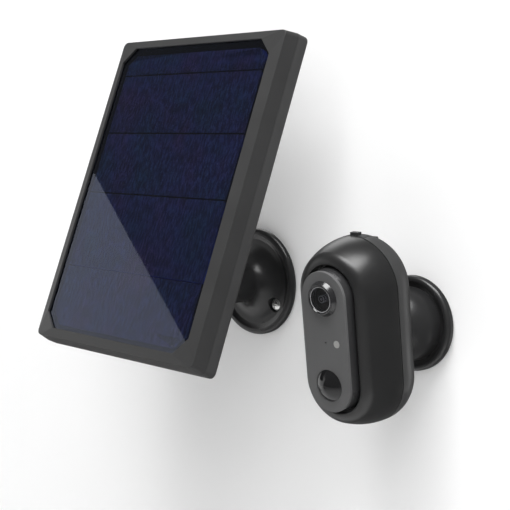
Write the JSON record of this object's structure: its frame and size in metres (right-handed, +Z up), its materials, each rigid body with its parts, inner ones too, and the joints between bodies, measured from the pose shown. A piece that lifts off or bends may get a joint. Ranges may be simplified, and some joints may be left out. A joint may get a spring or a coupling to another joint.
{
  "type": "solar-powered security camera",
  "caption": "Tilted solar panel on a ball-jointed wall arm beside a capsule-shaped security camera on a magnetic dome mount.",
  "frame": {"origin": "centre of the panel wall disc's back face, on the wall plane y = 0", "axes": "+X along the wall towards the camera, +Y into the wall, +Z up"},
  "size_m": [0.2185, 0.1386, 0.2029],
  "materials": {
    "panel_case": "fine moulded texture, charcoal",
    "seal_rubber": "matt black elastomer",
    "dark_screw": "black zinc plating",
    "panel_glass": "clear glossy cover sheet",
    "solar_cell": "dark blue monocrystalline cell under film",
    "cell_ribbon": "tinned copper strip",
    "cell_board": "black backing sheet",
    "circuit_board": "solder-masked glass fibre board",
    "brass_insert": "knurled turned brass",
    "arm_metal": "black powder coat",
    "arm_nut": "ribbed black nylon",
    "seat_plastic": "natural black acetal",
    "mount_plastic": "satin black moulding",
    "bright_screw": "nickel-plated steel",
    "dome_plastic": "polished black moulding",
    "dome_steel": "drawn sheet steel",
    "camera_plastic": "polished black moulding",
    "rear_plastic": "satin black moulding",
    "magnet": "nickel-plated magnet disc",
    "cover_rubber": "soft black rubber",
    "face_matte": "fine matt grey-black plate",
    "lens_ring": "piano black ring",
    "lens_glass": "coated clear optical part",
    "barrel_black": "anodised black, stepped baffles",
    "sensor_chip": "silicon under cover glass",
    "led_clear": "water-clear epoxy",
    "light_pipe": "frosted light pipe",
    "sensor_can": "plated metal can",
    "pir_gloss": "smoked glossy dome",
    "battery_wrap": "heat-shrink sleeve",
    "holder_plastic": "moulded holder",
    "speaker_black": "small driver with cloth cone",
    "antenna_film": "copper on film",
    "socket_metal": "stamped plated shell",
    "button_plastic": "pale button cap"
  },
  "bodies": {
    "wall_mounts": {"panel_base": "mount_plastic", "panel_base_screws": "bright_screw", "camera_dome": "dome_plastic", "dome_steel": "dome_steel", "camera_wall_plate": "mount_plastic", "camera_base_screws": "bright_screw"},
    "panel_seat": {"ball_seat": "seat_plastic"},
    "panel_arm": {"ball_arm": "arm_metal", "arm_lock_nut": "arm_nut"},
    "solar_panel": {"panel_bezel": "panel_case", "panel_seal": "seal_rubber", "panel_back_cover": "panel_case", "panel_case_screws": "dark_screw", "panel_glass": "panel_glass", "solar_cells": "solar_cell", "cell_ribbons": "cell_ribbon", "cell_board": "cell_board", "panel_circuit": "circuit_board", "cord_bushing": "seal_rubber", "threaded_insert": "brass_insert"},
    "camera_pad": {"friction_pad": "seal_rubber"},
    "camera_cup": {"magnet_cup": "camera_plastic", "cup_magnet": "magnet"},
    "port_flap": {"port_cover": "cover_rubber"},
    "reset_key": {"reset_button": "button_plastic"},
    "camera": {"front_housing": "camera_plastic", "housing_seal": "seal_rubber", "rear_housing": "rear_plastic", "housing_screws": "dark_screw", "face_plate": "face_matte", "face_module": "camera_plastic", "lens_ring": "lens_ring", "lens_window": "lens_glass", "lens_barrel": "barrel_black", "lens_elements": "lens_glass", "image_sensor": "sensor_chip", "sensor_board": "circuit_board", "infrared_leds": "led_clear", "light_sensor": "light_pipe", "microphone": "sensor_can", "pir_lens": "pir_gloss", "pir_sensor": "sensor_can", "main_board": "circuit_board", "battery_cells": "battery_wrap", "battery_holder": "holder_plastic", "speaker": "speaker_black", "wifi_antenna": "antenna_film", "port_board": "circuit_board", "usb_socket": "socket_metal", "card_reader": "socket_metal"}
  },
  "joints": [
    {"name": "panel_pan", "type": "hinge", "parent": "wall_mounts", "child": "panel_seat", "pos_m": [0, -0.036, 0], "axis": [0, 0, 1], "range_deg": [-20, 12]},
    {"name": "panel_tilt", "type": "hinge", "parent": "panel_seat", "child": "panel_arm", "pos_m": [0, -0.036, 0], "axis": [1, 0, 0], "range_deg": [-12, 30]},
    {"name": "panel_turn", "type": "hinge", "parent": "panel_arm", "child": "solar_panel", "pos_m": [0, -0.036, 0], "axis": [0, -0.9323, 0.3616], "range_deg": [-12, 12]},
    {"name": "camera_pan", "type": "hinge", "parent": "wall_mounts", "child": "camera_pad", "pos_m": [0.12035, -0.0115, -0.01104], "axis": [0, 0, 1], "range_deg": [-14, 25]},
    {"name": "camera_tilt", "type": "hinge", "parent": "camera_pad", "child": "camera_cup", "pos_m": [0.12035, -0.0115, -0.01104], "axis": [1, 0, 0], "range_deg": [-18, 18]},
    {"name": "camera_roll", "type": "hinge", "parent": "camera_cup", "child": "camera", "pos_m": [0.12035, -0.0115, -0.01104], "axis": [-0.0139, 0.9919, 0.1264], "range_deg": [-15, 15]},
    {"name": "port_cover_hinge", "type": "hinge", "parent": "camera", "child": "port_flap", "pos_m": [0.12077, -0.04156, 0.03738], "axis": [-0.9999, -0.014, 0], "range_deg": [0, 100]},
    {"name": "reset_press", "type": "slide", "parent": "camera", "child": "reset_key", "axis": [-0.0018, 0.1264, -0.992], "range_m": [0, 0.0003], "stiffness_N_per_m": 1500, "springref_m": -0.0002}
  ]
}
